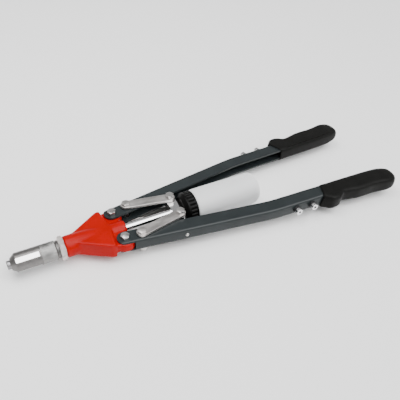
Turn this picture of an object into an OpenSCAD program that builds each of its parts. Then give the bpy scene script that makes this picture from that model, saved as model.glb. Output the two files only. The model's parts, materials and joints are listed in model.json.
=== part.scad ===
// Two-hand lever riveter for blind rivets.
// X runs from the nosepiece tip back to the grips, Z is up, and the tool axis is the X axis.
// The arms are closed, which is the end of the pulling stroke. Sizes are in millimetres.

/* [Nose] */
// Radius of the front sleeve
sleeve_r = 11.9; // [11.5:0.1:12.5]
// Where the straight part of the front sleeve ends
sleeve_end = 57.8; // [56:0.2:58]
// Radius of the mandrel bore in the fitted nosepiece
nose_bore_r = 2.1; // [1.5:0.1:2.6]
// Radius of the nosepiece where it stands out of the sleeve
nose_tip_r = 5.3; // [4:0.1:5.5]
// Distance across the flats of the sleeve's lock nut
lock_nut_af = 27; // [26:0.5:30]

/* [Head] */
// Distance from the nosepiece tip to the arm pivots
pivot_x = 135.5; // [134:0.5:138]
// Distance of each arm pivot from the tool axis
pivot_y = 24; // [23.5:0.1:25]
// Thickness of the head casting
head_t = 21; // [20:0.5:22]
// Thickness of the head's ears, between the flanges of the arms
ear_t = 11.4; // [10.5:0.1:11.6]
// Radius of the head's neck
neck_r = 13.5; // [13:0.1:14]

/* [Arms] */
// Width of an arm, seen from above
arm_w = 20; // [19:0.5:20.5]
// Height of an arm
arm_h = 17; // [16.6:0.1:17.4]
// Thickness of the arm's sheet steel
sheet_t = 2.5; // [2:0.1:2.6]
// Where an arm ends, inside its grip
arm_end = 504; // [480:1:505]
// Outward slope of the long front part of an arm
front_slope = 0.153; // [0.14:0.001:0.16]
// Outward slope of the rear part of an arm
rear_slope = 0.038; // [0.03:0.001:0.05]

/* [Linkage] */
// Length of a link between its two pins
link_l = 58; // [57.5:0.1:58.5]
// Width of a link
link_w = 13.5; // [13:0.1:14.5]
// Thickness of a link
link_t = 3.6; // [3:0.1:4]
// Distance of the crosshead's pins from the tool axis
cross_pin_y = 16.5; // [16:0.1:17]

/* [Collector] */
// Radius of the mandrel bottle
bottle_r = 22; // [21:0.5:22.5]
// Where the bottle ends
bottle_end = 335; // [300:1:336]
// Wall thickness of the bottle
bottle_wall = 1.4; // [1:0.1:2]

/* [Hidden] */

$fn = 64;
// Clearance of a part that is fixed in another, and of one that runs in another
fit_gap = 0.05;
run_gap = 0.06;
chamfer = 0.6;

// Nose
nose_l = 17.5;
nose_thread_r = 5.9;
nose_tail_r = 3.3;
sleeve_front = 4.2;
cone_end = 10.5;
sleeve_face_r = 7;
sleeve_wall_end = 13;
sleeve_bore_r = 9.4;
shank_r = 10.6;
shank_end = 78;
flat_end = 38.3;
flat_af = 23;
flat_turn = 36;
washer_x = [58.5, 60.2];
washer_r = 11.3;
lock_nut_x = [60.6, 67];
neck_x = 67.2;

// Jaw case and what it holds
jaw_angle = 15;
jaw_taper = tan(jaw_angle);
case_x = [34.5, 84];
case_r = 8.9;
case_mouth_r = 3.6;
case_lip = 1.5;
case_cone_end = 52;
case_bore_r = case_mouth_r + jaw_taper*(case_cone_end - case_x[0] - case_lip);
jaw_x = [36.5, 48.5];
jaw_grip_r = 1.2;
jaw_mouth_r = 2;
jaw_split = 0.5;
pusher_x = [48.6, 60];
pusher_r = 7;
pusher_tip_r = 6.2;
pusher_bore_r = 2.8;
spigot_r = 4.3;
spigot_l = 4;
spring_x = [60.2, 69.9];
spring_r = 5.6;
wire_r = 0.5;
spring_turns = 5;
tube_x = [70, 233];
tube_r = 5.5;
tube_bore_r = 3.4;
case_nut_x = [84.1, 88];
case_slot_y = 7.4;
case_slot_w = 4;

// Head casting
bore_end = 92;
plate_x = 77.5;
plate_front_y = 8.3;
// Where the neck starts to sink into the plate, and how far that has gone and ends
neck_fade = [[79, neck_r], [96, 12.9], [114, 10.4]];
boss_end = 144.5;
boss_r = 10;
ear_r = 12;
fork_r = arm_w/2;
fork_clear = 1.35;
shoulder_y = 33;
// Where the shoulders are widest, and where the thick core ends
shoulder_span = [pivot_x - 19.5, pivot_x - 14];
core_end = pivot_x - 11;
// Where an ear starts, leaves the shoulder and ends
ear_x = [pivot_x - 20, pivot_x - 8, pivot_x + 4];
ear_edge_y = [shoulder_y - 3, pivot_y + 8.5];
bolt_r = 3;
bolt_af = 10;
bolt_head_h = 4;
nut_h = 4.4;
thread_over = 1.2;

// Arms: the centre line is straight, bends over bend_x and is straight again
bend_x = [316, 343];
web_start = 10.5;
fork_step = 7.5;
function bend_y(t) = front_slope*t + (rear_slope - front_slope)*t*t/2/(bend_x[1] - bend_x[0]);
bend_y0 = pivot_y + front_slope*(bend_x[0] - pivot_x);
bend_y1 = bend_y0 + bend_y(bend_x[1] - bend_x[0]);
function arm_y(x) = x < bend_x[0] ? pivot_y + front_slope*(x - pivot_x)
                  : x < bend_x[1] ? bend_y0 + bend_y(x - bend_x[0])
                  : bend_y1 + rear_slope*(x - bend_x[1]);
function arm_slope(x) = (arm_y(x + 0.5) - arm_y(x - 0.5));
// A point beside the centre line, at a distance measured square to it
function beside(x, off) = let (s = arm_slope(x), n = sqrt(1 + s*s)) [x - off*s/n, arm_y(x) + off/n];
bend_steps = 6;
bend_span = [for (i = [0 : bend_steps]) bend_x[0] + (bend_x[1] - bend_x[0])*i/bend_steps];

// Linkage
arm_pin = [pivot_x + 20.8, pivot_y + 3.6];
cross_x = arm_pin[0] + sqrt(link_l*link_l - pow(arm_pin[1] - cross_pin_y, 2));
link_angle = atan2(cross_pin_y - arm_pin[1], cross_x - arm_pin[0]);
link_pin_r = 2.5;
pin_head_h = 2.8;
pin_play = 2.3;
cross_l = 13;
cross_h = arm_h + 0.4;
cross_end_r = cross_l/2;
link_z = [9.1, 9.1 + link_t];

// Collector
cap_front = 221.7;
cap_rim = 239;
cap_r = 21.6;
cap_wall = 3;
cap_hub_r = 9;
cap_shoulder_r = 17;
cap_bore_r = 18.6;
cap_nut_x = [cap_front + cap_wall + 0.1, 229.5];
cap_nut_af = 19;
neck_front = 231;
bottle_neck_r = 18.2;
bottle_corner_r = 8;
shoulder_x = [cap_rim + 0.4, cap_rim + 3.4];

// Spare nosepieces, each at its own place along an arm and with its own mandrel bore
spare_x = [362, 386.5];
spare_bores = [1.05, 1.3, 1.55, 1.85];
holder_r = 5.2;
holder_h = 3.2;
spare_tip_h = 5;
spare_tip_r = 4.5;
spare_thread_l = 8;
spare_thread_r = 3;
holder_tail = 0.5;
web_hole_r = 4.2;
rivet_x = 210.5;
rivet_r = 1.5;
rivet_head_r = 2.4;

// Grip: places along the grip, each with its reach outward and inward and its half height
grip_x = 400;
grip_sections = [[0, 12.5, 12, 10.6], [6, 17.5, 12, 10.8], [11, 21.4, 12, 11],
                 [19, 22.2, 12, 11], [26, 20.6, 12, 10.8], [31, 17, 12, 10.6], [36, 14.8, 12, 10.6],
                 [50, 16.8, 12, 10.8], [60, 18.5, 12, 11], [72, 18.7, 12, 11], [86, 18.3, 12, 11],
                 [98, 19.4, 11.6, 11], [110, 21.2, 11, 11], [118, 21.2, 10.2, 10.6],
                 [123, 19.4, 8.8, 10], [127, 15.5, 6.6, 8.4], [129.4, 10.5, 2.5, 5.6], [130, 7.4, 0, 3.4]];
grip_end = grip_sections[len(grip_sections) - 1][0];
grip_rings = 40;
grip_sides = 28;
// Roundness of the grip's sections, and of its end from end_from on
grip_power = 0.42;
end_power = 0.75;
end_from = 108;
// How far the mouth is set back on its inner side, and at the top of its outer side
mouth_slant = 12;
mouth_rake = 4;
mouth_l = 30;
socket_gap = 0.1;

// ---- shared shapes ----

// Solid of revolution about the X axis; its outline lists [x, radius]
module turned(outline) {
    rotate([90, 0, 90]) rotate_extrude() polygon([for (p = outline) [p[1], p[0]]]);
}

// Solid ring or disc about the X axis
module ring(span, r, bore = 0) {
    turned([[span[0], bore], [span[1], bore], [span[1], r], [span[0], r]]);
}

// Round bar about the X axis, with chamfered ends
module bar(span, r, bore = 0, c = chamfer) {
    turned([[span[0], bore], [span[0], r - c], [span[0] + c, r], [span[1] - c, r],
            [span[1], r - c], [span[1], bore]]);
}

// Hexagon nut or bolt head about the Z axis, with its corners turned off on the chosen ends
module hexagon(z, af, low = true, high = true) {
    corner_r = af/sqrt(3);
    flat_r = af/2;
    c = (corner_r - flat_r)/1.7;
    intersection() {
        translate([0, 0, z[0]]) cylinder(h = z[1] - z[0], r = corner_r, $fn = 6);
        rotate_extrude() polygon([[0, z[0]], [low ? flat_r : corner_r, z[0]],
                                  [corner_r, z[0] + (low ? c : 0)],
                                  [corner_r, z[1] - (high ? c : 0)],
                                  [high ? flat_r : corner_r, z[1]], [0, z[1]]]);
    }
}

// Hexagon nut about the X axis
module axial_nut(span, af, bore) {
    difference() {
        rotate([90, 0, 90]) hexagon(span, af);
        ring([span[0] - 1, span[1] + 1], bore);
    }
}

// Bolt along Z with its head on top
module bolt(top, bottom) {
    hexagon([top, top + bolt_head_h], bolt_af, low = false);
    translate([0, 0, bottom]) cylinder(h = top - bottom + 0.1, r = bolt_r);
}

// Nut under a bolt
module bolt_nut(top, r, af) {
    difference() {
        hexagon([top - nut_h, top], af);
        translate([0, 0, top - nut_h - 1]) cylinder(h = nut_h + 2, r = r + fit_gap);
    }
}

// The left side is the right side mirrored
module left() { mirror([0, 1, 0]) children(); }

module at(p) { translate([p[0], p[1], 0]) children(); }

// ---- nose ----

module nosepiece() {
    color("silver") turned([[0, nose_bore_r], [0, nose_tip_r - chamfer], [chamfer, nose_tip_r],
        [sleeve_front, nose_tip_r], [sleeve_front, nose_thread_r], [sleeve_wall_end, nose_thread_r],
        [sleeve_wall_end + 1, nose_tail_r + 1], [nose_l, nose_tail_r], [nose_l, nose_bore_r]]);
}

module front_sleeve() {
    thread_r = nose_thread_r + fit_gap;
    color("silver") difference() {
        turned([[sleeve_front + 0.2, thread_r], [sleeve_front + 0.2, sleeve_face_r],
            [cone_end, sleeve_r], [sleeve_end - 1.5, sleeve_r], [sleeve_end, sleeve_r - 1.2],
            [sleeve_end, shank_r], [shank_end, shank_r], [shank_end, sleeve_bore_r],
            [sleeve_wall_end, sleeve_bore_r], [sleeve_wall_end, thread_r]]);
        for (turn = [0 : 90 : 270]) rotate([flat_turn + turn, 0, 0])
            translate([0, flat_af/2, -sleeve_r]) cube([flat_end, sleeve_r, 2*sleeve_r]);
    }
}

module sleeve_washer() {
    color("gainsboro") bar(washer_x, washer_r, shank_r + fit_gap);
}

module sleeve_lock_nut() {
    color("gainsboro") axial_nut(lock_nut_x, lock_nut_af, shank_r + fit_gap);
}

// ---- head ----

module casting_plan() {
    polygon([[plate_x, -plate_front_y], [shoulder_span[0], -shoulder_y], [shoulder_span[1], -shoulder_y],
             [core_end, -boss_r], [core_end, boss_r], [shoulder_span[1], shoulder_y],
             [shoulder_span[0], shoulder_y], [plate_x, plate_front_y]]);
}

module ear_plan() {
    polygon([[ear_x[0], 0], [ear_x[0], ear_edge_y[0]], [ear_x[1], ear_edge_y[1]],
             [ear_x[2] - 2, pivot_y], [ear_x[2], pivot_y - 4], [ear_x[2], 0]]);
    at([pivot_x, pivot_y]) circle(r = ear_r);
}

module head_casting() {
    color("red") difference() {
        union() {
            difference() {
                linear_extrude(head_t, center = true) casting_plan();
                for (side = [1, -1]) translate([pivot_x, side*pivot_y, -head_t])
                    cylinder(h = 2*head_t, r = fork_r + fork_clear);
            }
            linear_extrude(ear_t, center = true) ear_plan();
            left() linear_extrude(ear_t, center = true) ear_plan();
            turned(concat([[neck_x, 0], [neck_x, neck_r - chamfer], [neck_x + chamfer, neck_r]],
                          neck_fade,
                          [[boss_end - 1, boss_r], [boss_end, boss_r - 1], [boss_end, 0]]));
        }
        ring([neck_x - 1, shank_end + 0.3], shank_r + fit_gap);
        ring([neck_x, bore_end], sleeve_bore_r);
        ring([bore_end - 1, boss_end + 1], tube_r + run_gap);
        for (side = [1, -1]) translate([pivot_x, side*pivot_y, -head_t])
            cylinder(h = 2*head_t, r = bolt_r + fit_gap);
    }
}

module pivot_bolt() {
    top = arm_h/2 + 0.1;
    color("gainsboro") at([pivot_x, pivot_y]) bolt(top, -top - nut_h - thread_over);
}

module right_pivot_bolt() { pivot_bolt(); }
module left_pivot_bolt() { left() pivot_bolt(); }

module pivot_nut() {
    color("gainsboro") at([pivot_x, pivot_y]) bolt_nut(-arm_h/2 - 0.1, bolt_r, bolt_af);
}

module right_pivot_nut() { pivot_nut(); }
module left_pivot_nut() { left() pivot_nut(); }

// ---- jaws ----

module jaw_case() {
    cone_start = case_x[0] + case_lip;
    color("dimgray") turned([[case_x[0], case_mouth_r], [case_x[0], case_r - 1.5],
        [case_x[0] + 1.5, case_r], [case_x[1], case_r], [case_x[1], tube_r + fit_gap],
        [tube_x[0], tube_r + fit_gap], [tube_x[0], case_bore_r], [case_cone_end, case_bore_r],
        [cone_start, case_mouth_r]]);
}

module jaw_case_nut() {
    color("dimgray") difference() {
        bar(case_nut_x, case_r, tube_r + fit_gap);
        for (side = [0, 1]) mirror([0, side, 0]) translate([case_nut_x[0] - 1, case_slot_y, -case_r])
            cube([case_nut_x[1], case_slot_w, 2*case_r]);
    }
}

// One third of a split cone that slides along its own slope; turn is the side that it faces
module jaw(turn) {
    cone_start = case_x[0] + case_lip;
    front_r = case_mouth_r - run_gap + jaw_taper*(jaw_x[0] - cone_start);
    rear_r = case_mouth_r - run_gap + jaw_taper*(jaw_x[1] - cone_start);
    reach = 2*rear_r;
    color("gray") rotate([turn, 0, 0]) intersection() {
        turned([[jaw_x[0], jaw_mouth_r], [jaw_x[0], front_r], [jaw_x[1], rear_r],
                [jaw_x[1], jaw_mouth_r], [jaw_x[1] - 1, jaw_grip_r], [jaw_x[0] + 1, jaw_grip_r]]);
        translate([jaw_x[0] - 1, 0, 0]) rotate([90, 0, 90]) linear_extrude(jaw_x[1] - jaw_x[0] + 2)
            polygon([[jaw_split, 0], [jaw_split + reach*cos(60), reach*sin(60)],
                     [jaw_split + reach*cos(60), -reach*sin(60)]]);
    }
}

module jaw_1() { jaw(90); }
module jaw_2() { jaw(210); }
module jaw_3() { jaw(330); }

module jaw_pusher() {
    color("gray") turned([[pusher_x[0], pusher_bore_r], [pusher_x[0], pusher_tip_r],
        [pusher_x[0] + 2, pusher_r], [pusher_x[1], pusher_r], [pusher_x[1], spigot_r],
        [pusher_x[1] + spigot_l, spigot_r], [pusher_x[1] + spigot_l, pusher_bore_r]]);
}

// Coil swept as a tube of six sides along a helix
module jaw_spring() {
    per_turn = 16;
    count = spring_turns*per_turn;
    sides = 6;
    span = spring_x[1] - spring_x[0] - 2*wire_r;
    points = [for (i = [0 : count], k = [0 : sides - 1])
        let (turn = 360*i/per_turn, a = 360*k/sides, r = spring_r + wire_r*cos(a))
        [spring_x[0] + wire_r + span*i/count + wire_r*sin(a), r*cos(turn), r*sin(turn)]];
    walls = [for (i = [0 : count - 1], k = [0 : sides - 1])
        [i*sides + k, i*sides + (k + 1)%sides, (i + 1)*sides + (k + 1)%sides, (i + 1)*sides + k]];
    first = [for (k = [sides - 1 : -1 : 0]) k];
    last = [for (k = [0 : sides - 1]) count*sides + k];
    color("silver") polyhedron(points, concat(walls, [first, last]));
}

// ---- draw tube and crosshead ----

module draw_tube() { color("silver") bar(tube_x, tube_r, tube_bore_r, 0.4); }

module crosshead() {
    color("silver") difference() {
        union() {
            translate([cross_x - cross_l/2, -cross_pin_y, -cross_h/2])
                cube([cross_l, 2*cross_pin_y, cross_h]);
            for (side = [1, -1]) translate([cross_x, side*cross_pin_y, -cross_h/2])
                cylinder(h = cross_h, r = cross_end_r);
        }
        ring([cross_x - cross_l, cross_x + cross_l], tube_r + fit_gap);
        for (side = [1, -1]) translate([cross_x, side*cross_pin_y, -cross_h])
            cylinder(h = 2*cross_h, r = bolt_r + fit_gap);
    }
}

module cap_nut() { color("gainsboro") axial_nut(cap_nut_x, cap_nut_af, tube_r + fit_gap); }

module crosshead_bolt() {
    top = link_z[1] + 0.2;
    color("gainsboro") at([cross_x, cross_pin_y]) bolt(top, -top - nut_h - thread_over);
}

module right_crosshead_bolt() { crosshead_bolt(); }
module left_crosshead_bolt() { left() crosshead_bolt(); }

module crosshead_nut() {
    color("gainsboro") at([cross_x, cross_pin_y]) bolt_nut(-link_z[1] - 0.2, bolt_r, bolt_af);
}

module right_crosshead_nut() { crosshead_nut(); }
module left_crosshead_nut() { left() crosshead_nut(); }

// ---- links ----

module link(low) {
    color("silver") at(arm_pin) rotate([0, 0, link_angle]) difference() {
        translate([0, 0, low]) union() {
            translate([0, -link_w/2, 0]) cube([link_l, link_w, link_t]);
            cylinder(h = link_t, r = link_w/2);
            translate([link_l, 0, 0]) cylinder(h = link_t, r = link_w/2);
        }
        translate([0, 0, low - 1]) cylinder(h = link_t + 2, r = link_pin_r + fit_gap);
        translate([link_l, 0, low - 1]) cylinder(h = link_t + 2, r = bolt_r + run_gap);
    }
}

module right_top_link() { link(link_z[0]); }
module right_bottom_link() { link(-link_z[1]); }
module left_top_link() { left() link(link_z[0]); }
module left_bottom_link() { left() link(-link_z[1]); }

module link_pin() {
    low = -link_z[1] - nut_h - thread_over;
    head_low = link_z[1] + 0.05;
    color("gainsboro") at(arm_pin) {
        hexagon([head_low, head_low + pin_head_h], bolt_af, low = false);
        translate([0, 0, low]) cylinder(h = head_low + 0.1 - low, r = link_pin_r);
    }
}

module right_link_pin() { link_pin(); }
module left_link_pin() { left() link_pin(); }

module link_nut() {
    color("gainsboro") at(arm_pin) bolt_nut(-link_z[1] - 0.05, link_pin_r, bolt_af - 1);
}

module right_link_nut() { link_nut(); }
module left_link_nut() { left() link_nut(); }

// ---- collector ----

module bottle_cap() {
    hub_front = cross_x + cross_l/2 + 0.1;
    color([0.09, 0.09, 0.09]) turned([[hub_front, tube_r + fit_gap], [hub_front, cap_hub_r],
        [cap_front, cap_hub_r + 2], [cap_front, cap_shoulder_r], [cap_front + 4, cap_r - 0.3],
        [cap_front + 5, cap_r], [cap_rim, cap_r], [cap_rim, cap_bore_r],
        [cap_front + cap_wall, cap_bore_r], [cap_front + cap_wall, tube_r + fit_gap]]);
}

module mandrel_bottle() {
    corner = [for (a = [90 : -15 : 0]) [bottle_end - bottle_corner_r + bottle_corner_r*cos(a),
                                         bottle_r - bottle_corner_r + bottle_corner_r*sin(a)]];
    inner_r = bottle_corner_r - bottle_wall;
    inner_corner = [for (a = [0 : 15 : 90]) [bottle_end - bottle_corner_r + inner_r*cos(a),
                                              bottle_r - bottle_corner_r + inner_r*sin(a)]];
    neck_bore_r = bottle_neck_r - bottle_wall - 0.4;
    color([0.9, 0.9, 0.9]) turned(concat(
        [[neck_front, neck_bore_r], [neck_front, bottle_neck_r], [shoulder_x[0], bottle_neck_r],
         [shoulder_x[0], bottle_r - 1.2], [shoulder_x[1], bottle_r]],
        corner, [[bottle_end, 0], [bottle_end - bottle_wall, 0]], inner_corner,
        [[shoulder_x[1], bottle_r - bottle_wall], [shoulder_x[1] - 1.6, neck_bore_r]]));
}

// ---- arms ----

// Strip along an arm between two distances from its centre line
module arm_strip(from_x, to_x, inside, outside) {
    stations = concat([from_x], [for (x = bend_span) if (x > from_x && x < to_x) x], [to_x]);
    count = len(stations);
    polygon(concat([for (x = stations) beside(x, outside)],
                   [for (i = [count - 1 : -1 : 0]) beside(stations[i], inside)]));
}

// The arm from above, rounded in front about its pivot
module arm_plan() {
    stations = concat([pivot_x], bend_span, [arm_end]);
    count = len(stations);
    front = [for (turn = [fork_step : fork_step : 180 - fork_step])
        let (a = atan(front_slope) - 90 - turn)
        [pivot_x + fork_r*cos(a), pivot_y + fork_r*sin(a)]];
    polygon(concat([for (x = stations) beside(x, fork_r)],
                   [for (i = [count - 1 : -1 : 0]) beside(stations[i], -fork_r)], front));
}

module arm() {
    flange_gap = arm_h - 2*sheet_t;
    web_x = pivot_x + web_start;
    color([0.24, 0.27, 0.29]) difference() {
        linear_extrude(arm_h, center = true) arm_plan();
        linear_extrude(flange_gap, center = true)
            arm_strip(web_x - 1, arm_end + 1, -arm_w, arm_w/2 - sheet_t);
        linear_extrude(flange_gap, center = true)
            arm_strip(pivot_x - 2*arm_w, web_x, -2*arm_w, 2*arm_w);
        translate([pivot_x, pivot_y, -arm_h]) cylinder(h = 2*arm_h, r = bolt_r + run_gap);
        at(arm_pin) translate([0, 0, -arm_h]) cylinder(h = 2*arm_h, r = link_pin_r + pin_play);
        for (x = spare_x) at(beside(x, 0)) rotate([-90, 0, atan(arm_slope(x))])
            cylinder(h = arm_w, r = web_hole_r);
        at(beside(rivet_x, 0)) rotate([-90, 0, atan(arm_slope(rivet_x))])
            cylinder(h = arm_w, r = rivet_r + fit_gap);
    }
}

module right_arm() { arm(); }
module left_arm() { left() arm(); }

// Places its child at a point on the web's outer face, with Z pointing out of the face
module on_web(x) {
    at(beside(x, arm_w/2)) rotate([-90, 0, atan(arm_slope(x))]) children();
}

module spare_holders() {
    color([0.09, 0.09, 0.09]) for (x = spare_x) on_web(x) difference() {
        union() {
            translate([0, 0, 0.05]) cylinder(h = holder_h, r = holder_r);
            translate([0, 0, -sheet_t - holder_tail])
                cylinder(h = sheet_t + holder_tail + 0.1, r = web_hole_r - fit_gap);
        }
        translate([0, 0, -sheet_t - 1]) cylinder(h = sheet_t + holder_h + 2, r = spare_thread_r + fit_gap);
    }
}

module right_spare_holders() { spare_holders(); }
module left_spare_holders() { left() spare_holders(); }

module spare_nosepiece(x, bore) {
    color("silver") on_web(x) difference() {
        union() {
            translate([0, 0, holder_h + 0.1]) cylinder(h = spare_tip_h, r = spare_tip_r);
            translate([0, 0, holder_h - spare_thread_l])
                cylinder(h = spare_thread_l + 1, r = spare_thread_r);
        }
        translate([0, 0, -spare_thread_l]) cylinder(h = 3*spare_thread_l, r = bore);
    }
}

module spare_nosepiece_1() { spare_nosepiece(spare_x[0], spare_bores[0]); }
module spare_nosepiece_2() { spare_nosepiece(spare_x[1], spare_bores[1]); }
module spare_nosepiece_3() { left() spare_nosepiece(spare_x[0], spare_bores[2]); }
module spare_nosepiece_4() { left() spare_nosepiece(spare_x[1], spare_bores[3]); }

module arm_rivet() {
    color("silver") on_web(rivet_x) {
        translate([0, 0, -sheet_t - 0.1]) cylinder(h = sheet_t + 0.5, r = rivet_r);
        translate([0, 0, 0.05]) cylinder(h = 1.2, r1 = rivet_head_r, r2 = rivet_r);
    }
}

module right_arm_rivet() { arm_rivet(); }
module left_arm_rivet() { left() arm_rivet(); }

// ---- grips ----

function column(c) = [for (s = grip_sections) [s[0], s[c]]];
function smooth(x, c) = (lookup(x - 1.5, column(c)) + 2*lookup(x, column(c))
                         + lookup(x + 1.5, column(c)))/4;
function section_power(x) = grip_power
    + (end_power - grip_power)*max(0, x - end_from)/(grip_end - end_from);
function curved(v, p) = sign(v)*pow(abs(v), p);

// Closed skin through rounded sections, with the mouth cut on a slant
module grip_body() {
    points = [for (i = [0 : grip_rings], k = [0 : grip_sides - 1])
        let (x = grip_end*sin(90*i/grip_rings), a = 360*k/grip_sides, p = section_power(x),
             out = smooth(x, 1), into = smooth(x, 2), h = smooth(x, 3),
             side = curved(cos(a), p), lift = curved(sin(a), p),
             back = mouth_slant*(1 - side)/2 + mouth_rake*(1 + side)*(1 + lift)/4)
        [x + max(0, 1 - x/mouth_l)*back, (out - into)/2 + side*(out + into)/2, h*lift]];
    walls = [for (i = [0 : grip_rings - 1], k = [0 : grip_sides - 1])
        [i*grip_sides + k, (i + 1)*grip_sides + k,
         (i + 1)*grip_sides + (k + 1)%grip_sides, i*grip_sides + (k + 1)%grip_sides]];
    first = [for (k = [0 : grip_sides - 1]) k];
    last = [for (k = [grip_sides - 1 : -1 : 0]) grip_rings*grip_sides + k];
    polyhedron(points, concat(walls, [first, last]));
}

module grip() {
    socket_w = arm_w + 2*socket_gap;
    socket_h = arm_h + 2*socket_gap;
    color([0.07, 0.07, 0.07]) at([grip_x, arm_y(grip_x)]) rotate([0, 0, atan(rear_slope)])
        difference() {
            grip_body();
            translate([-10, -socket_w/2, -socket_h/2]) cube([arm_end - grip_x + 11, socket_w, socket_h]);
        }
}

module right_grip() { grip(); }
module left_grip() { left() grip(); }

nosepiece();
front_sleeve();
sleeve_washer();
sleeve_lock_nut();
head_casting();
right_pivot_bolt();
left_pivot_bolt();
right_pivot_nut();
left_pivot_nut();
jaw_case();
jaw_case_nut();
jaw_1();
jaw_2();
jaw_3();
jaw_pusher();
jaw_spring();
draw_tube();
crosshead();
cap_nut();
right_crosshead_bolt();
left_crosshead_bolt();
right_crosshead_nut();
left_crosshead_nut();
right_top_link();
right_bottom_link();
left_top_link();
left_bottom_link();
right_link_pin();
left_link_pin();
right_link_nut();
left_link_nut();
bottle_cap();
mandrel_bottle();
right_arm();
left_arm();
right_grip();
left_grip();
right_spare_holders();
left_spare_holders();
spare_nosepiece_1();
spare_nosepiece_2();
spare_nosepiece_3();
spare_nosepiece_4();
right_arm_rivet();
left_arm_rivet();
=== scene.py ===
"""Looks of a two-hand lever riveter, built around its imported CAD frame.

Shapes are worked out in millimetres in the CAD's own frame: X from the nosepiece tip back to the
grips, Z up, the tool axis along X. Meshes are scaled to metres when they are made.
"""
import json
import math

import bmesh
import bpy
from mathutils import Matrix, Vector


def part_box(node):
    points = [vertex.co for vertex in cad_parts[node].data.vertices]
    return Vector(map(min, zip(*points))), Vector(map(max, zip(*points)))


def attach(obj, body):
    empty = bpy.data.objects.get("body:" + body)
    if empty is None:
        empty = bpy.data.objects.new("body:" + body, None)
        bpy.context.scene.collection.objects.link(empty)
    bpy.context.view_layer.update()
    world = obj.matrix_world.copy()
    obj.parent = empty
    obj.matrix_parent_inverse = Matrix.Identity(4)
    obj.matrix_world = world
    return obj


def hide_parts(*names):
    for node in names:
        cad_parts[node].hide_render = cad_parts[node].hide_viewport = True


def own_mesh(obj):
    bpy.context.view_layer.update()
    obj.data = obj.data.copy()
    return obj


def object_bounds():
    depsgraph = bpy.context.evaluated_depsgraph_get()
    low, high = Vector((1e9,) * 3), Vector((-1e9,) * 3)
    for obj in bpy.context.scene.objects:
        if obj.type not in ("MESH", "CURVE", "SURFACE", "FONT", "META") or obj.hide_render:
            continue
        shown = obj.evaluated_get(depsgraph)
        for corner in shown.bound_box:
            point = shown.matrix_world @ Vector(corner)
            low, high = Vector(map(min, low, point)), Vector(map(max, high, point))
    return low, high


MM = 0.001
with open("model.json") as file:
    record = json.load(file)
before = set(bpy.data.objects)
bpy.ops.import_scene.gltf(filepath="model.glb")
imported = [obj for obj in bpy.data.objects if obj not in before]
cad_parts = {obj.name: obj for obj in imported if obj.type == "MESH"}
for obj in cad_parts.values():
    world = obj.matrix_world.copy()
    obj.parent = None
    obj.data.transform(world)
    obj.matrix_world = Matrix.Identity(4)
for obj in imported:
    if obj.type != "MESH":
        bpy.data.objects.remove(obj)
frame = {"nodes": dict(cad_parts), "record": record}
CAD_LOW, CAD_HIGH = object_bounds()
RECORD = frame["record"]
BODY_OF = {node: body for body, nodes in RECORD["behaviour"]["bodies"].items() for node in nodes}
JOINTS = {joint["name"]: joint for joint in RECORD["behaviour"]["joints"]}
SIDES = ("right", "left")
# Clearance of a part that is fixed on another, in millimetres
FIT_GAP = 0.05
# Edges sharper than this many degrees are shaded sharp, unless a piece sets its own limit
SHARP = 38


def box_mm(node):
    """Lowest and highest corner of a CAD node, in millimetres."""
    low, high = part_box(node)
    return low / MM, high / MM


# ---- places and sizes taken from the frame, in millimetres ----

PIVOT = Vector(JOINTS["right_arm_pivot"]["pos_m"]) / MM
SLEEVE_LOW, SLEEVE_HIGH = box_mm("front_sleeve")
SLEEVE_R = SLEEVE_HIGH.z
CAP_LOW, CAP_HIGH = box_mm("bottle_cap")
BOTTLE_LOW, BOTTLE_HIGH = box_mm("mandrel_bottle")
GRIP_HIGH = box_mm("right_grip")[1]
ARM_LOW, ARM_HIGH = box_mm("right_arm")
LINK_PIN = sum(box_mm("right_link_pin"), Vector()) / 2
TUBE_R = box_mm("draw_tube")[1].z

# The arm's centre line: a long straight slope, a bend and a shallow slope
ARM_W = 20.0
ARM_H = ARM_HIGH.z - ARM_LOW.z
SHEET_T = 2.5
FRONT_SLOPE = 0.153
REAR_SLOPE = 0.038
BEND_START = 316.0
BEND_END = 343.0
ARM_END = 504.0


def arm_y(x):
    """Distance of the right arm's centre line from the tool axis."""
    if x < BEND_START:
        return PIVOT.y + FRONT_SLOPE * (x - PIVOT.x)
    start = PIVOT.y + FRONT_SLOPE * (BEND_START - PIVOT.x)
    bend = BEND_END - BEND_START
    t = min(x - BEND_START, bend)
    curve = FRONT_SLOPE * t + (REAR_SLOPE - FRONT_SLOPE) * t * t / 2 / bend
    return start + curve + REAR_SLOPE * max(0.0, x - BEND_END)


def beside_arm(x, off, z=0.0):
    """Point at a distance off outward from the right arm's centre line."""
    slope = arm_y(x + 0.5) - arm_y(x - 0.5)
    n = math.hypot(1.0, slope)
    return Vector((x - off * slope / n, arm_y(x) + off / n, z))


# ---- mesh helpers ----


def add_object(name, data):
    """New object in the scene for a mesh, a light or a camera."""
    obj = bpy.data.objects.new(name, data)
    bpy.context.scene.collection.objects.link(obj)
    return obj


def weld(mesh, distance, flatten=False):
    """Merges doubled points and turns all faces outward; flatten makes flat faces whole again."""
    bm = bmesh.new()
    bm.from_mesh(mesh)
    bmesh.ops.remove_doubles(bm, verts=bm.verts, dist=distance)
    if flatten:
        bmesh.ops.dissolve_limit(bm, angle_limit=math.radians(1), verts=bm.verts, edges=bm.edges)
    bmesh.ops.recalc_face_normals(bm, faces=bm.faces)
    bm.to_mesh(mesh)
    bm.free()


def new_piece(name, points, faces, sharp=SHARP):
    """Object made from points in millimetres, with shading split at edges sharper than an angle."""
    mesh = bpy.data.meshes.new(name)
    mesh.from_pydata([Vector(p) * MM for p in points], [], faces)
    weld(mesh, 1e-7)
    shade(mesh, sharp)
    return add_object(name, mesh)


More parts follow.
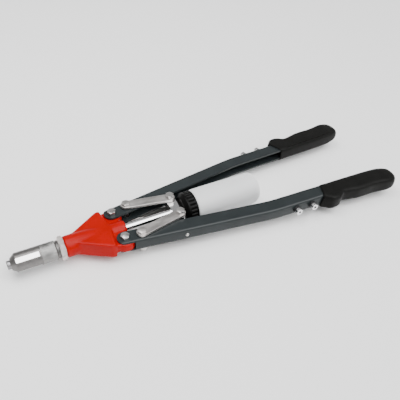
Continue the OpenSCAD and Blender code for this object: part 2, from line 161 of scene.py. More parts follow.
def shade(mesh, sharp):
    """Smooth shading, split at edges sharper than an angle in degrees."""
    for face in mesh.polygons:
        face.use_smooth = True
    mesh.set_sharp_from_angle(angle=math.radians(sharp))


def stand_for(obj, node, material):
    """The piece takes the place of a CAD node, rides on its body and gets its material."""
    obj.data.materials.clear()
    obj.data.materials.append(material)
    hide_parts(node)
    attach(obj, BODY_OF[node])


def mirrored(obj, name):
    """Copy of a piece on the other side of the tool axis, with its own mirrored mesh."""
    copy = obj.copy()
    copy.data = obj.data.copy()
    copy.name = name
    copy.data.transform(Matrix.Scale(-1.0, 4, (0, 1, 0)))
    copy.data.flip_normals()
    bpy.context.scene.collection.objects.link(copy)
    return copy


def bevel(obj, width, angle=32):
    """Rounds the edges sharper than an angle and keeps the faces between them flat."""
    modifier = obj.modifiers.new("edges", "BEVEL")
    modifier.width = width * MM
    modifier.segments = 2
    modifier.limit_method = "ANGLE"
    modifier.angle_limit = math.radians(angle)
    modifier.harden_normals = True


def apply_modifiers(obj):
    """Bakes the modifiers of a piece into its mesh."""
    graph = bpy.context.evaluated_depsgraph_get()
    graph.update()
    mesh = bpy.data.meshes.new_from_object(obj.evaluated_get(graph))
    old = obj.data
    obj.modifiers.clear()
    obj.data = mesh
    bpy.data.meshes.remove(old)


def cad_copy(node, name):
    """Copy of a CAD node's mesh as a new object, with its flat faces whole again."""
    mesh = frame["nodes"][node].data.copy()
    mesh.name = name
    weld(mesh, 1e-6, flatten=True)
    return add_object(name, mesh)


def soften(node, width, material):
    """Stands for a CAD node with the same shape and slightly rounded edges."""
    obj = cad_copy(node, node + "_look")
    shade(obj.data, SHARP)
    bevel(obj, width)
    stand_for(obj, node, material)


def rounded(outline, steps):
    """Rounds the corners of a closed outline whose points are (x, r) or (x, r, corner radius)."""
    out = []
    count = len(outline)
    for i, corner in enumerate(outline):
        here = Vector(corner[:2])
        radius = corner[2] if len(corner) > 2 else 0.0
        if radius <= 0:
            out.append((here.x, here.y))
            continue
        back = (Vector(outline[i - 1][:2]) - here).normalized()
        ahead = (Vector(outline[(i + 1) % count][:2]) - here).normalized()
        half = back.angle(ahead) / 2
        run = radius / math.tan(half)
        centre = here + (back + ahead).normalized() * radius / math.sin(half)
        start = here + back * run - centre
        sweep = start.angle_signed(here + ahead * run - centre)
        for step in range(steps + 1):
            turned = start.copy()
            turned.rotate(Matrix.Rotation(-sweep * step / steps, 2))
            out.append((centre.x + turned.x, centre.y + turned.y))
    return out


def revolve(name, outline, steps, sharp, shape=None):
    """Closed solid turned about the X axis; shape may change a radius by x, r and angle."""
    points = []
    faces = []
    count = len(outline)
    for k in range(steps):
        angle = 2 * math.pi * k / steps
        for x, r in outline:
            radius = shape(x, r, angle) if shape else r
            points.append((x, radius * math.cos(angle), radius * math.sin(angle)))
    for k in range(steps):
        after = (k + 1) % steps
        for i in range(count):
            j = (i + 1) % count
            on_axis = outline[i][1] < 1e-6 and outline[j][1] < 1e-6
            if not on_axis:
                faces.append((k * count + i, k * count + j, after * count + j, after * count + i))
    return new_piece(name, points, faces, sharp)


def skin(count, rings):
    """Faces that join rings of count points one after another and close both ends."""
    faces = [(i * count + k, i * count + (k + 1) % count, (i + 1) * count + (k + 1) % count,
              (i + 1) * count + k) for i in range(rings - 1) for k in range(count)]
    return faces + [tuple(range(count)), tuple(range((rings - 1) * count, rings * count))]


def span(start, end, step):
    """Evenly spaced values from start to end, no further apart than step."""
    count = max(1, math.ceil(abs(end - start) / step))
    return [start + (end - start) * i / count for i in range(count + 1)]


def smooth_curve(stations, x):
    """Smooth curve through (x, value) points, by cubic steps between them."""
    if x <= stations[0][0]:
        return stations[0][1]
    for i in range(len(stations) - 1):
        x0, y0 = stations[i]
        x1, y1 = stations[i + 1]
        if x <= x1:
            before = stations[max(i - 1, 0)]
            after = stations[min(i + 2, len(stations) - 1)]
            slope0 = (y1 - before[1]) / (x1 - before[0])
            slope1 = (after[1] - y0) / (after[0] - x0)
            run = x1 - x0
            t = (x - x0) / run
            return ((2 * t**3 - 3 * t**2 + 1) * y0 + (t**3 - 2 * t**2 + t) * run * slope0
                    + (3 * t**2 - 2 * t**3) * y1 + (t**3 - t**2) * run * slope1)
    return stations[-1][1]


# ---- materials ----


class Paint:
    """A node material with a Principled shader and short calls to add to it."""

    def __init__(self, name, colour, metallic, roughness, **sockets):
        self.material = bpy.data.materials.new(name)
        self.material.use_nodes = True
        self.tree = self.material.node_tree
        self.shader = self.tree.nodes["Principled BSDF"]
        self.shader.inputs["Base Color"].default_value = (*colour, 1)
        self.shader.inputs["Metallic"].default_value = metallic
        self.shader.inputs["Roughness"].default_value = roughness
        for socket, value in sockets.items():
            label = socket.replace("_", " ").title().replace("Ior", "IOR")
            self.shader.inputs[label].default_value = value
        self.place = self.node("ShaderNodeTexCoord").outputs["Object"]

    def node(self, kind, **settings):
        """New node of a kind, with its settings."""
        made = self.tree.nodes.new(kind)
        for key, value in settings.items():
            setattr(made, key, value)
        return made

    def link(self, output, target):
        """Link from an output socket to an input socket."""
        self.tree.links.new(output, target)

    def noise(self, scale, detail, stretch=(1, 1, 1), rough=0.5):
        """Noise over the object's own metres, with its grain stretched by stretch."""
        mapping = self.node("ShaderNodeMapping")
        mapping.inputs["Scale"].default_value = stretch
        self.link(self.place, mapping.inputs["Vector"])
        made = self.node("ShaderNodeTexNoise")
        made.inputs["Scale"].default_value = scale
        made.inputs["Detail"].default_value = detail
        made.inputs["Roughness"].default_value = rough
        self.link(mapping.outputs["Vector"], made.inputs["Vector"])
        return made.outputs["Fac"]

    def ramp(self, value, low, high, start, end):
        """Maps value from low..high to start..end, clamped."""
        made = self.node("ShaderNodeMapRange")
        limits = {"From Min": low, "From Max": high, "To Min": start, "To Max": end}
        for socket, number in limits.items():
            made.inputs[socket].default_value = number
        self.link(value, made.inputs["Value"])
        return made.outputs["Result"]

    def blend(self, factor, one, two):
        """Mix of two colours, or of a colour socket and a colour, by a factor."""
        made = self.node("ShaderNodeMix", data_type="RGBA")
        self.link(factor, made.inputs["Factor"])
        for socket, colour in ((made.inputs[6], one), (made.inputs[7], two)):
            if isinstance(colour, tuple):
                socket.default_value = (*colour, 1)
            else:
                self.link(colour, socket)
        return made.outputs[2]

    def mottle(self, value, one, two, low=0.3, high=0.7):
        """Patches of two colours, spread by a noise value."""
        return self.blend(self.ramp(value, low, high, 0.0, 1.0), one, two)

    def product(self, one, two):
        """Product of two sockets."""
        made = self.node("ShaderNodeMath", operation="MULTIPLY")
        self.link(one, made.inputs[0])
        self.link(two, made.inputs[1])
        return made.outputs[0]

    def colour(self, output):
        """Gives the shader its colour."""
        self.link(output, self.shader.inputs["Base Color"])

    def rough(self, output):
        """Gives the shader its roughness."""
        self.link(output, self.shader.inputs["Roughness"])

    def bump(self, height, depth_mm, strength):
        """Adds bumps of a depth; calls stack, the first one lowest."""
        made = self.node("ShaderNodeBump")
        made.inputs["Strength"].default_value = strength
        made.inputs["Distance"].default_value = depth_mm * MM
        self.link(height, made.inputs["Height"])
        before = self.shader.inputs["Normal"].links
        if before:
            self.link(before[0].from_socket, made.inputs["Normal"])
        self.link(made.outputs["Normal"], self.shader.inputs["Normal"])


def worn_edges(paint, low, high):
    """0 on flat faces and up to 1 along convex edges, broken up by noise."""
    edge = paint.node("ShaderNodeNewGeometry").outputs["Pointiness"]
    broken = paint.ramp(paint.noise(500, 4), 0.4, 0.65, 0.0, 1.0)
    return paint.product(paint.ramp(edge, low, high, 0.0, 1.0), broken)


def chrome():
    """Polished chrome with a faint haze and fine rings round the tool axis."""
    p = Paint("chrome_plate", (0.72, 0.72, 0.73), 1.0, 0.16)
    cloud = p.noise(130, 4)
    p.colour(p.mottle(cloud, (0.80, 0.80, 0.81), (0.90, 0.90, 0.90), 0.35))
    p.rough(p.ramp(p.noise(420, 5), 0.3, 0.75, 0.10, 0.20))
    p.bump(p.noise(900, 3, (1, 0.15, 0.15)), 0.006, 0.25)
    return p.material


def toned_chrome(name, dark, light, rough):
    """Satin chrome over turned steel, with fine rings round the tool axis, in a tone set by dark and
    light; the sleeve's body, ring and knurl take copies darkened below plain chrome as painted shade.
    """
    p = Paint(name, light, 1.0, rough)
    haze = p.noise(160, 4)
    p.colour(p.mottle(haze, dark, light))
    p.rough(p.ramp(haze, 0.3, 0.75, rough - 0.05, rough + 0.05))
    p.bump(p.noise(1800, 2, (1, 0.02, 0.02)), 0.006, 0.3)
    return p.material


def zinc():
    """Dull zinc plate of the bolts and nuts."""
    p = Paint("zinc_plate", (0.70, 0.71, 0.72), 1.0, 0.34)
    patch = p.noise(330, 5)
    p.colour(p.mottle(patch, (0.46, 0.45, 0.445), (0.58, 0.565, 0.55)))
    p.rough(p.ramp(patch, 0.3, 0.7, 0.26, 0.40))
    p.bump(p.noise(1600, 4), 0.01, 0.35)
    return p.material


def bright_zinc():
    """Fresh zinc on the thin nut behind the sleeve."""
    p = Paint("bright_zinc", (0.72, 0.67, 0.64), 0.85, 0.38)
    patch = p.noise(280, 4)
    p.colour(p.mottle(patch, (0.66, 0.61, 0.585), (0.78, 0.73, 0.70)))
    p.rough(p.ramp(patch, 0.3, 0.7, 0.32, 0.44))
    p.bump(p.noise(1600, 4), 0.01, 0.35)
    return p.material


def link_steel():
    """Pressed strip with fine rolling lines and small dents."""
    p = Paint("link_steel", (0.60, 0.585, 0.57), 1.0, 0.40, anisotropic=0.4)
    lines = p.noise(240, 6, (0.6, 7, 7))
    patch = p.noise(90, 4)
    tint = p.mottle(patch, (0.43, 0.41, 0.395), (0.53, 0.51, 0.495))
    shine = p.ramp(lines, 0.35, 0.65, 0.0, 0.35)
    p.colour(p.blend(shine, tint, (0.62, 0.60, 0.585)))
    p.rough(p.ramp(lines, 0.3, 0.7, 0.30, 0.50))
    p.bump(lines, 0.03, 0.3)
    p.bump(p.noise(700, 2), 0.03, 0.2)
    return p.material


def red_enamel():
    """Glossy enamel over a die casting, with a slight orange peel."""
    p = Paint("red_enamel", (0.33, 0.001, 0.0005), 0.0, 0.30, coat_weight=0.10, coat_roughness=0.08,
              specular_ior_level=0.05)
    patch = p.noise(60, 3)
    base = p.mottle(patch, (0.30, 0.0008, 0.0004), (0.35, 0.0012, 0.0006))
    p.colour(p.blend(worn_edges(p, 0.56, 0.66), base, (0.24, 0.002, 0.001)))
    p.rough(p.ramp(p.noise(300, 3), 0.3, 0.7, 0.26, 0.38))
    p.bump(p.noise(420, 2), 0.04, 0.3)
    p.bump(p.noise(1500, 2), 0.01, 0.4)
    return p.material


def grey_enamel():
    """Dark blue-grey enamel on bent sheet, with sparse scratches and bare worn edges."""
    p = Paint("grey_enamel", (0.011, 0.014, 0.0155), 0.0, 0.36, coat_weight=0.3, coat_roughness=0.10,
              specular_ior_level=0.08)
    patch = p.noise(45, 4)
    base = p.mottle(patch, (0.0150, 0.0186, 0.0197), (0.0195, 0.0238, 0.0250))
    scratch = p.ramp(p.noise(140, 8, (0.5, 9, 9), 0.6), 0.66, 0.72, 0.0, 0.6)
    scuffed = p.blend(scratch, base, (0.022, 0.026, 0.028))
    p.colour(p.blend(worn_edges(p, 0.60, 0.72), scuffed, (0.05, 0.056, 0.06)))
    p.rough(p.ramp(p.noise(160, 5), 0.3, 0.7, 0.30, 0.44))
    p.bump(p.noise(700, 3), 0.05, 0.3)
    p.bump(p.noise(110, 2), 0.15, 0.15)
    return p.material


def hard_steel():
    """Hardened steel, darker in patches, with fine turning marks."""
    p = Paint("hard_steel", (0.26, 0.26, 0.27), 1.0, 0.36)
    patch = p.noise(300, 4)
    p.colour(p.mottle(patch, (0.19, 0.19, 0.20), (0.32, 0.31, 0.31)))
    p.rough(p.ramp(patch, 0.3, 0.7, 0.26, 0.46))
    p.bump(p.noise(2200, 2, (1, 0.05, 0.05)), 0.02, 0.3)
    return p.material


def black_oxide():
    """Blackened steel with a slight grain."""
    p = Paint("black_oxide", (0.018, 0.018, 0.020), 0.6, 0.42)
    patch = p.noise(420, 4)
    p.colour(p.mottle(patch, (0.012, 0.012, 0.013), (0.035, 0.035, 0.037)))
    p.rough(p.ramp(patch, 0.3, 0.7, 0.34, 0.54))
    p.bump(p.noise(1800, 3), 0.03, 0.35)
    return p.material


def black_plastic():
    """Moulded cap with a fine spark-eroded grain."""
    p = Paint("black_plastic", (0.002, 0.002, 0.0018), 0.0, 0.34, specular_ior_level=0.09)
    patch = p.noise(120, 3)
    p.colour(p.mottle(patch, (0.0015, 0.0015, 0.0014), (0.003, 0.0029, 0.0027)))
    p.rough(p.ramp(p.noise(700, 4), 0.3, 0.7, 0.30, 0.42))
    p.bump(p.noise(2400, 3), 0.02, 0.4)
    return p.material


def bottle_plastic():
    """Frosted polyethylene, slightly cloudy, with faint flow marks along the bottle."""
    p = Paint("bottle_plastic", (0.80, 0.80, 0.80), 0.0, 0.44, specular_ior_level=0.4,
              subsurface_weight=0.55, subsurface_scale=0.012)
    p.shader.inputs["Subsurface Radius"].default_value = (1.0, 0.95, 0.9)
    flow = p.noise(26, 3, (0.35, 1, 1))
    p.colour(p.mottle(flow, (0.80, 0.805, 0.81), (0.88, 0.88, 0.875)))
    p.rough(p.ramp(p.noise(300, 4), 0.3, 0.7, 0.38, 0.52))
    p.bump(p.noise(60, 2, (0.4, 1, 1)), 0.25, 0.2)
    p.bump(p.noise(1700, 3), 0.03, 0.35)
    return p.material


def grip_rubber():
    """Soft vinyl with a fine leathery grain and a dusty sheen on its high spots."""
    p = Paint("grip_rubber", (0.0048, 0.0048, 0.0044), 0.0, 0.42, specular_ior_level=0.08)
    patch = p.noise(70, 4)
    base = p.mottle(patch, (0.0036, 0.0036, 0.0033), (0.0060, 0.0060, 0.0055))
    cell = p.node("ShaderNodeTexVoronoi", feature="SMOOTH_F1")
    cell.inputs["Scale"].default_value = 1300
    p.link(p.place, cell.inputs["Vector"])
    pebble = cell.outputs["Distance"]
    p.colour(p.blend(p.ramp(pebble, 0.15, 0.6, 0.4, 0.0), base, (0.011, 0.011, 0.0105)))
    p.rough(p.ramp(p.noise(260, 4), 0.3, 0.7, 0.38, 0.52))
    p.bump(p.noise(150, 3), 0.12, 0.25)
    p.bump(p.ramp(pebble, 0.0, 0.7, 1.0, 0.0), 0.05, 0.45)
    return p.material


CHROME = chrome()
# Copies of one chrome plate: the turned sleeve and its ring are darkened as painted shade, the knurl a
# little less, and the flats keep plain chrome; their roughness also differs, as a real finish.
SHADED_CHROME = toned_chrome("toned_chrome", (0.15, 0.145, 0.142), (0.20, 0.193, 0.188), 0.42)
KNURL_SHADED_CHROME = toned_chrome("knurl_shaded_chrome", (0.24, 0.238, 0.232), (0.32, 0.318, 0.31), 0.36)
MILLED = toned_chrome("milled_chrome", (0.72, 0.72, 0.71), (0.80, 0.80, 0.79), 0.18)
ZINC = zinc()
BRIGHT_ZINC = bright_zinc()
LINK_STEEL = link_steel()
RED = red_enamel()
GREY = grey_enamel()
HARD = hard_steel()
OXIDE = black_oxide()
CAP_BLACK = black_plastic()
BOTTLE = bottle_plastic()
RUBBER = grip_rubber()


# ---- nose ----

# The wrench flats: where they end, how far from the axis, the turn of the first and their run-out
FLAT_END = 38.3
FLAT_R = 11.5
FLAT_TURN = math.radians(36)
FLAT_RUNOUT = 1.2
# The knurl: its ends, its teeth round the sleeve, its depth and the spacing of its rings
KNURL_START = 39.4
KNURL_END = 56.2
KNURL_TEETH = 88
KNURL_DEPTH = 0.22
KNURL_STEP = 0.21


def from_flat(angle):
    """Signed angle from the middle of the nearest of the sleeve's four wrench flats."""
    return (angle - FLAT_TURN + math.pi / 4) % (math.pi / 2) - math.pi / 4


def sleeve_radius(x, r, angle):
    """Outer radius of the sleeve with four wrench flats in front and a diamond knurl behind."""
    outside = r >= SLEEVE_R - 1.5
    if outside and x <= FLAT_END:
        side = from_flat(angle)
        runout = max(0.0, (x - (FLAT_END - FLAT_RUNOUT)) / FLAT_RUNOUT)
        return min(r, (FLAT_R + (SLEEVE_R - FLAT_R) * runout**2) / math.cos(side))
    if outside and KNURL_START <= x <= KNURL_END:
        pitch = 2 * math.pi * SLEEVE_R / KNURL_TEETH
        turn = angle * KNURL_TEETH / (2 * math.pi)
        one = abs((turn + x / pitch) % 1 - 0.5)
        two = abs((turn - x / pitch) % 1 - 0.5)
        return r - KNURL_DEPTH * 2 * max(one, two)
    return r


def sleeve_shade_and_finish(mesh):
    """The knurl gets a copy of the chrome with less painted shade than the turned body, and the milled
    flats plain chrome; the copies also differ in roughness, as real finishes do.
    """
    mesh.materials.append(KNURL_SHADED_CHROME)
    mesh.materials.append(MILLED)
    for face in mesh.polygons:
        centre = face.center / MM
        normal = face.normal
        outside = math.hypot(centre.y, centre.z) >= FLAT_R - 0.5
        level = abs(normal.x) < 0.05
        square_to_flat = abs(from_flat(math.atan2(normal.z, normal.y))) < math.radians(1)
        if outside and KNURL_START < centre.x < KNURL_END:
            face.material_index = 1
        elif outside and centre.x < FLAT_END and level and square_to_flat:
            face.material_index = 2


def front_sleeve():
    """Chrome sleeve with its cone, flats, knurl and threaded ends."""
    low, high = SLEEVE_LOW.x, SLEEVE_HIGH.x
    face_r, thread_r, shank_r, bore_r = 7.0, 5.95, 10.6, 9.4
    cone_end, straight_end, wall_end = 10.5, 57.8, 13.0
    profile = rounded([
        (low, thread_r), (low, face_r, 0.5), (cone_end, SLEEVE_R, 0.9),
        (straight_end - 1.5, SLEEVE_R, 0.4), (straight_end, SLEEVE_R - 1.2, 0.3),
        (straight_end, shank_r), (high, shank_r), (high, bore_r), (wall_end, bore_r),
        (wall_end, thread_r)], 4)
    dense = []
    for i, (x, r) in enumerate(profile):
        dense.append((x, r))
        after = profile[(i + 1) % len(profile)]
        if r > SLEEVE_R - 0.01 and after[1] > SLEEVE_R - 0.01:
            dense += [(between, r) for between in span(x, after[0], KNURL_STEP)[1:-1]]
    sleeve = revolve("front_sleeve_look", dense, KNURL_TEETH * 4, 12, sleeve_radius)
    # The turned body takes the chrome darkened as painted shade
    stand_for(sleeve, "front_sleeve", SHADED_CHROME)
    sleeve_shade_and_finish(sleeve.data)


# ---- head ----

# Where each bore along the tool axis ends, and its radius with a small margin
HEAD_BORES = ((78.6, 11.0), (92.4, 9.8), (math.inf, 6.1))
BOLT_BORE_R = 3.4
# Grid that the casting is rebuilt on before it is smoothed, and the rounds of smoothing
HEAD_GRID = 0.6
MELT_ROUNDS = 64


def drilled(point):
    """True on the wall of one of the head's bores, which stays sharp."""
    bore_r = next(r for end, r in HEAD_BORES if point.x < end)
    from_bolt = math.hypot(point.x - PIVOT.x, abs(point.y) - PIVOT.y)
    return math.hypot(point.y, point.z) < bore_r or from_bolt < BOLT_BORE_R


def head_casting():
    """The casting with its edges and inner corners rounded, as they leave the die."""
    body = cad_copy("head_casting", "head_casting_look")
    grid = body.modifiers.new("grid", "REMESH")
    grid.mode = "VOXEL"
    grid.voxel_size = HEAD_GRID * MM
    apply_modifiers(body)
    cast = body.vertex_groups.new(name="cast")
    cast.add([v.index for v in body.data.vertices if not drilled(v.co / MM)], 1.0, "REPLACE")
    melt = body.modifiers.new("melt", "SMOOTH")
    melt.factor = 0.5
    melt.iterations = MELT_ROUNDS
    melt.vertex_group = cast.name
    apply_modifiers(body)
    shade(body.data, 180)
    stand_for(body, "head_casting", RED)


# ---- arms ----

# Radii of the holes for the pivot bolt and for the link pin, which has play there
PIVOT_BORE_R = 3.06
LINK_PLAY_R = 4.8
# How far behind the pivot the outer wall of the channel starts
WEB_START = 10.5


def prism(name, outline, low, high):
    """Upright prism over an outline of (x, y) points."""
    count = len(outline)
    points = [(x, y, low) for x, y in outline] + [(x, y, high) for x, y in outline]
    faces = [tuple(range(count)), tuple(range(2 * count - 1, count - 1, -1))]
    faces += [(i, (i + 1) % count, count + (i + 1) % count, count + i) for i in range(count)]
    return new_piece(name, points, faces)


def circle(centre, r):
    """Points of a circle."""
    steps = 48
    return [(centre.x + r * math.cos(2 * math.pi * i / steps),
             centre.y + r * math.sin(2 * math.pi * i / steps)) for i in range(steps)]


def carve(obj, cutter):
    """Cuts a closed cutter out of a piece and deletes the cutter."""
    cut = obj.modifiers.new("cut", "BOOLEAN")
    cut.operation = "DIFFERENCE"
    cut.solver = "EXACT"
    cut.object = cutter
    apply_modifiers(obj)
    bpy.data.objects.remove(cutter)


def bend(off, z, r, first, last):
    """Quarter bend of radius r about (off, z), from one angle in degrees to another."""
    steps = 6
    angles = [math.radians(first + (last - first) * k / steps) for k in range(steps + 1)]
    return [(off + r * math.cos(a), z + r * math.sin(a)) for a in angles]


def channel_section():
    """Closed outline of the bent sheet as (off, z): outer skin out, inner skin back."""
    outer_r, inner_r = 3.2, 0.7
    edge, half_h = ARM_W / 2, ARM_H / 2
    web, flange = edge - SHEET_T, half_h - SHEET_T
    outer = (bend(edge - outer_r, half_h - outer_r, outer_r, 90, 0)
             + bend(edge - outer_r, -(half_h - outer_r), outer_r, 0, -90))
    inner = (bend(web - inner_r, -(flange - inner_r), inner_r, -90, 0)
             + bend(web - inner_r, flange - inner_r, inner_r, 0, 90))
    return [(-edge, half_h), *outer, (-edge, -half_h), (-edge, -flange), *inner, (-edge, flange)]


def arm():
    """Bent channel with a rounded fork in front, open towards the tool axis."""
    section = channel_section()
    stations = (span(PIVOT.x - ARM_W * 0.6, BEND_START, 30) + span(BEND_START, BEND_END, 3)[1:]
                + span(BEND_END, ARM_END, 40)[1:])
    points = [beside_arm(x, off, z) for x in stations for off, z in section]
    body = new_piece("right_arm_look", points, skin(len(section), len(stations)), 30)
    # The fork's round end reaches a little past the sheet; the cutters reach far past it
    fork_r = ARM_W / 2 + 0.15
    past = 20
    direction = Vector((1, FRONT_SLOPE)).normalized()
    normal = Vector((-direction.y, direction.x))
    pivot = PIVOT.xy

    def local(s, off):
        """Point at a distance s behind the pivot along the arm and off outward from it."""
        spot = pivot + direction * s + normal * off
        return spot.x, spot.y

    gap = ARM_H / 2 - SHEET_T
    relief = [local(-past, -past), local(WEB_START, -past), local(WEB_START, past), local(-past, past)]
    carve(body, prism("relief", relief, -gap, gap))
    arc = [local(-fork_r * math.cos(a), fork_r * math.sin(a))
           for a in (math.radians(t) for t in range(90, -91, -5))]
    shave = [local(0, past), *arc, local(0, -past), local(-past, -past), local(-past, past)]
    carve(body, prism("shave", shave, -ARM_H, ARM_H))
    carve(body, prism("play", circle(LINK_PIN.xy, LINK_PLAY_R), -ARM_H, ARM_H))
    carve(body, prism("bore", circle(pivot, PIVOT_BORE_R), -ARM_H, ARM_H))
    shade(body.data, 30)
    bevel(body, 0.3, 50)
    return body


def arms():
    """Both arms, the left one mirrored."""
    right = arm()
    left = mirrored(right, "left_arm_look")
    stand_for(right, "right_arm", GREY)
    stand_for(left, "left_arm", GREY)


# ---- links ----


def links():
    """The four links beside the crosshead."""
    for side in SIDES:
        for level in ("top", "bottom"):
            soften(f"{side}_{level}_link", 0.6, LINK_STEEL)


# ---- collector ----

# Ribs round the cap's skirt and their depth
CAP_RIBS = 22
RIB_DEPTH = 1.3


def cap_radius(x, r, angle):
    """Skirt of the cap with rounded ribs along it."""
    skirt_start, skirt_end = CAP_LOW.x + 8.5, CAP_HIGH.x - 2.2
    if r < CAP_HIGH.z - 0.6 or not skirt_start <= x <= skirt_end:
        return r
    wave = abs(math.sin(angle * CAP_RIBS / 2))
    return r - RIB_DEPTH * (1 - wave**0.6)


def bottle_cap():
    """Ribbed cap with its hub on the draw tube."""
    hub_r, shoulder_r, bore_r, wall = 9.0, 17.0, 18.6, 3.0
    front, rim, r = CAP_LOW.x + 1.9, CAP_HIGH.x, CAP_HIGH.z
    profile = rounded([
        (CAP_LOW.x, TUBE_R + FIT_GAP), (CAP_LOW.x, hub_r, 0.5), (front, hub_r + 2, 0.4),
        (front, shoulder_r, 1.5), (front + 4.4, r - 0.1, 1.6), (rim, r, 0.5), (rim, bore_r),
        (front + wall, bore_r), (front + wall, TUBE_R + FIT_GAP)], 5)
    dense = []
    for i, (x, radius) in enumerate(profile):
        dense.append((x, radius))
        after = profile[(i + 1) % len(profile)]
        if radius > r - 0.5 and after[1] > r - 0.5:
            dense += [(between, r) for between in span(x, after[0], 0.5)[1:-1]]
    cap = revolve("bottle_cap_look", dense, CAP_RIBS * 14, 50, cap_radius)
    stand_for(cap, "bottle_cap", CAP_BLACK)


def bottle():
    """Hollow bottle with its neck in the cap and a dented base."""
    low, high, r = BOTTLE_LOW.x, BOTTLE_HIGH.x, BOTTLE_HIGH.z
    neck_r, wall, shoulder = 18.2, 1.4, CAP_HIGH.x + 0.4
    neck_bore_r = neck_r - wall - 0.4
    dent = high - 1.12
    profile = rounded([
        (low, neck_bore_r), (low, neck_r), (shoulder, neck_r, 0.2), (shoulder, r - 1.4, 1.0),
        (shoulder + 3, r, 2.5), (high, r, 8.5), (high, r * 0.55, 1.0), (dent, r * 0.48, 1.0),
        (dent, 0), (dent - wall, 0), (dent - wall, r * 0.52, 1.0), (high - wall, r - wall, 7.0),
        (shoulder + 3, r - wall, 1.5), (shoulder + 1.4, neck_bore_r)], 8)
    body = revolve("mandrel_bottle_look", profile, 128, 60)
    stand_for(body, "mandrel_bottle", BOTTLE)


# ---- grips ----

GRIP_X = 400.0
GRIP_L = GRIP_HIGH.x - GRIP_X
GRIP_STEPS = 120
SOCKET_L = 9.0
# Where the rings start to close in on the grip's end
TAIL_FROM = 118.0
# Reach from the arm's centre line at distances from the mouth. Outward: guard, waist, two finger
# swells and the heel; inward and up are nearly straight
GRIP_OUT = [(0, 12.5), (6, 17.5), (11, 21.4), (19, 22.2), (26, 20.6), (31, 17), (36, 14.8), (50, 16.8),
            (60, 18.5), (72, 18.7), (86, 18.3), (98, 19.4), (110, 21.2), (118, 21.2), (123, 19.4),
            (127, 15.5), (129.4, 10.5), (130, 7.4)]
GRIP_IN = [(0, 12), (86, 12), (98, 11.6), (110, 11), (118, 10.2), (123, 8.8), (127, 6.6), (129.4, 2.5),
           (130, 0)]
GRIP_HALF_H = [(0, 10.6), (11, 11), (31, 10.6), (50, 10.8), (110, 11), (118, 10.6), (123, 10),
               (127, 8.4), (129.4, 5.6), (130, 3.4)]
# The mouth is cut at a slant and turns in to the arm at its lip
MOUTH_SLANT = 12.0
MOUTH_RAKE = 4.0
MOUTH_L = 30.0
MOUTH_LIP = 1.2
# Power of the section's cosine and sine: a low one is boxy, 1 is an ellipse
SECTION_POWER = 0.42
END_POWER = 0.75
END_FROM = 108.0
# A shallow groove along each upper and lower inner side, fading in and out over the grip
GROOVE_AT = math.radians(127)
GROOVE_WIDTH = math.radians(8)
GROOVE_DEPTH = 1.1
GROOVE_START, GROOVE_FADE_IN = 12, 14
GROOVE_END, GROOVE_FADE_OUT = 126, 18


def mouth_setback(x, side, lift):
    """How far the slanted mouth moves a point back, fading out along the grip."""
    back = MOUTH_SLANT * (1 - side) / 2 + MOUTH_RAKE * (1 + side) * (1 + lift) / 4
    return max(0.0, 1 - x / MOUTH_L) * back


def grip_ring(x, shrink=0.0):
    """Rounded section of the grip at a distance x from its mouth."""
    out = smooth_curve(GRIP_OUT, x) - shrink
    into = smooth_curve(GRIP_IN, x) - shrink
    half_h = smooth_curve(GRIP_HALF_H, x) - shrink
    power = SECTION_POWER + (END_POWER - SECTION_POWER) * max(0.0, x - END_FROM) / (GRIP_L - END_FROM)
    fade_in, fade_out = (x - GROOVE_START) / GROOVE_FADE_IN, (GROOVE_END - x) / GROOVE_FADE_OUT
    along = max(0.0, min(1.0, fade_in, fade_out))
    ring = []
    for k in range(GRIP_STEPS):
        a = 2 * math.pi * (k + 0.5) / GRIP_STEPS
        c, s = math.cos(a), math.sin(a)
        side = math.copysign(abs(c)**power, c)
        lift = math.copysign(abs(s)**power, s)
        from_groove = min(abs(a - GROOVE_AT), abs(2 * math.pi - a - GROOVE_AT)) / GROOVE_WIDTH
        scale = 1 - GROOVE_DEPTH / half_h * along * math.exp(-from_groove**2)
        y = (out - into) / 2 + side * scale * (out + into) / 2
        ring.append((x + mouth_setback(x, side, lift), y, half_h * lift * scale))
    return ring


def socket_ring(x):
    """Rectangular section of the socket that the arm goes into."""
    play = 0.12
    half_w, half_h = ARM_W / 2 + play, ARM_H / 2 + play
    ring = []
    for k in range(GRIP_STEPS):
        a = 2 * math.pi * (k + 0.5) / GRIP_STEPS
        reach = 1 / max(abs(math.cos(a)) / half_w, abs(math.sin(a)) / half_h)
        y, z = reach * math.cos(a), reach * math.sin(a)
        ring.append((x + mouth_setback(0, y / half_w, z / half_h), y, z))
    return ring


def grip():
    """The right grip: rings from the bottom of its socket, round the lip and on to its end."""
    rings = [socket_ring(SOCKET_L), socket_ring(0.6), grip_ring(0.0, MOUTH_LIP), grip_ring(0.4, 0.35)]
    rings += [grip_ring(x) for x in span(1.4, TAIL_FROM, 1.2)]
    tail = GRIP_L - TAIL_FROM
    rings += [grip_ring(TAIL_FROM + tail * math.sin(math.radians(t))) for t in range(8, 91, 6)]
    turn = Matrix.Rotation(math.atan(REAR_SLOPE), 4, "Z")
    origin = Vector((GRIP_X, arm_y(GRIP_X), 0))
    points = [origin + turn @ Vector(p) for ring in rings for p in ring]
    return new_piece("right_grip_look", points, skin(GRIP_STEPS, len(rings)), 60)


def grips():
    """Both grips, the left one mirrored."""
    right = grip()
    left = mirrored(right, "left_grip_look")
    stand_for(right, "right_grip", RUBBER)
    stand_for(left, "left_grip", RUBBER)


# ---- the rest of the CAD nodes ----


def jaw_spring():
    """The coil behind the jaw pusher, on a mesh of its own."""
    spring = cad_copy("jaw_spring", "jaw_spring_look")
    shade(spring.data, 80)
    stand_for(spring, "jaw_spring", HARD)
    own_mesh(spring)


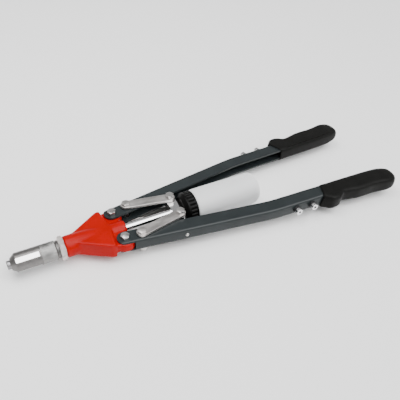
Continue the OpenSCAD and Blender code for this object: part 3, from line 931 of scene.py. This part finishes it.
def small_parts():
    """Nodes that keep their CAD shape, with rounded edges, and the jaw spring."""
    # The ring takes the chrome darkened as painted shade
    soften("sleeve_washer", 0.2, SHADED_CHROME)
    soften("sleeve_lock_nut", 0.4, BRIGHT_ZINC)
    zinc_nodes = ["cap_nut"]
    for side in SIDES:
        zinc_nodes += [f"{side}_{part}" for part in (
            "pivot_bolt", "pivot_nut", "crosshead_bolt", "crosshead_nut", "link_nut", "arm_rivet")]
        soften(f"{side}_link_pin", 0.35, LINK_STEEL)
    for node in zinc_nodes:
        soften(node, 0.3, ZINC)
    soften("crosshead", 0.9, CHROME)
    soften("draw_tube", 0.2, CHROME)
    soften("nosepiece", 0.3, HARD)
    for number in range(1, 5):
        soften(f"spare_nosepiece_{number}", 0.45, CHROME)
    for side in SIDES:
        soften(f"{side}_spare_holders", 0.5, OXIDE)
    for node in ("jaw_case", "jaw_case_nut", "jaw_1", "jaw_2", "jaw_3", "jaw_pusher"):
        soften(node, 0.2, HARD)
    jaw_spring()


# ---- studio ----


def make_camera():
    """Camera that looks down on the middle of the tool from its front left."""
    azimuth, elevation, roll = math.radians(28.9), math.radians(40.7), math.radians(2.1)
    distance = 0.6536
    target = Vector((0.2536, 0.0065, 0.0))
    forward = Vector((math.sin(azimuth) * math.cos(elevation), math.cos(azimuth) * math.cos(elevation),
                      -math.sin(elevation)))
    right = forward.cross(Vector((0, 0, 1))).normalized()
    up = right.cross(forward)
    turned_right = right * math.cos(roll) + up * math.sin(roll)
    turned_up = up * math.cos(roll) - right * math.sin(roll)
    data = bpy.data.cameras.new("camera")
    data.lens = 43.6
    data.sensor_width = 36.0
    camera = add_object("camera", data)
    axes = Matrix((turned_right, turned_up, -forward)).transposed()
    camera.matrix_world = Matrix.Translation(target - forward * distance) @ axes.to_4x4()
    bpy.context.scene.camera = camera


def key_light():
    """One large soft light above the front half of the tool."""
    data = bpy.data.lights.new("key", "AREA")
    data.shape = "RECTANGLE"
    data.size, data.size_y = 0.9, 0.5
    data.energy = 9
    lamp = add_object("key", data)
    middle = (CAD_LOW + CAD_HIGH) / 2
    lamp.location = middle + Vector((-0.3, 0.1, 1.1))
    direction = middle - lamp.location
    lamp.rotation_euler = direction.to_track_quat("-Z", "Y").to_euler()


def white_floor():
    """Floor just below the tool's lowest point."""
    z = CAD_LOW.z - 0.0004
    half = 4.0
    mesh = bpy.data.meshes.new("floor")
    corners = [(-half, -half, z), (half, -half, z), (half, half, z), (-half, half, z)]
    mesh.from_pydata(corners, [], [(0, 1, 2, 3)])
    floor = add_object("floor", mesh)
    white = Paint("studio_floor", (0.93, 0.93, 0.93), 0.0, 0.7, specular_ior_level=0.1)
    white.colour(white.blend(white.noise(3, 2), (0.925, 0.925, 0.925), (0.935, 0.935, 0.935)))
    mesh.materials.append(white.material)


def bright_dome():
    """Surroundings that are dark around the tool and bright in one patch overhead."""
    world = bpy.data.worlds.new("studio")
    world.use_nodes = True
    bpy.context.scene.world = world
    tree = world.node_tree
    outward = tree.nodes.new("ShaderNodeTexCoord")
    near = tree.nodes.new("ShaderNodeVectorMath")
    near.operation = "DOT_PRODUCT"
    near.inputs[1].default_value = (0.25, -0.45, 0.86)
    ramp = tree.nodes.new("ShaderNodeValToRGB")
    tree.links.new(outward.outputs["Generated"], near.inputs[0])
    tree.links.new(near.outputs["Value"], ramp.inputs["Fac"])
    tree.links.new(ramp.outputs["Color"], tree.nodes["Background"].inputs["Color"])
    # Closeness to the patch's middle and the brightness there
    stops = ((0.0, 0.10), (0.25, 0.055), (0.50, 0.05), (0.80, 0.12), (0.90, 0.45), (0.94, 1.0))
    while len(ramp.color_ramp.elements) < len(stops):
        ramp.color_ramp.elements.new(0.5)
    for element, (closeness, level) in zip(ramp.color_ramp.elements, stops):
        element.position = closeness
        element.color = (level, level, level, 1)
    tree.nodes["Background"].inputs["Strength"].default_value = 7.0


front_sleeve()
head_casting()
arms()
links()
bottle_cap()
bottle()
grips()
small_parts()
make_camera()
white_floor()
key_light()
bright_dome()
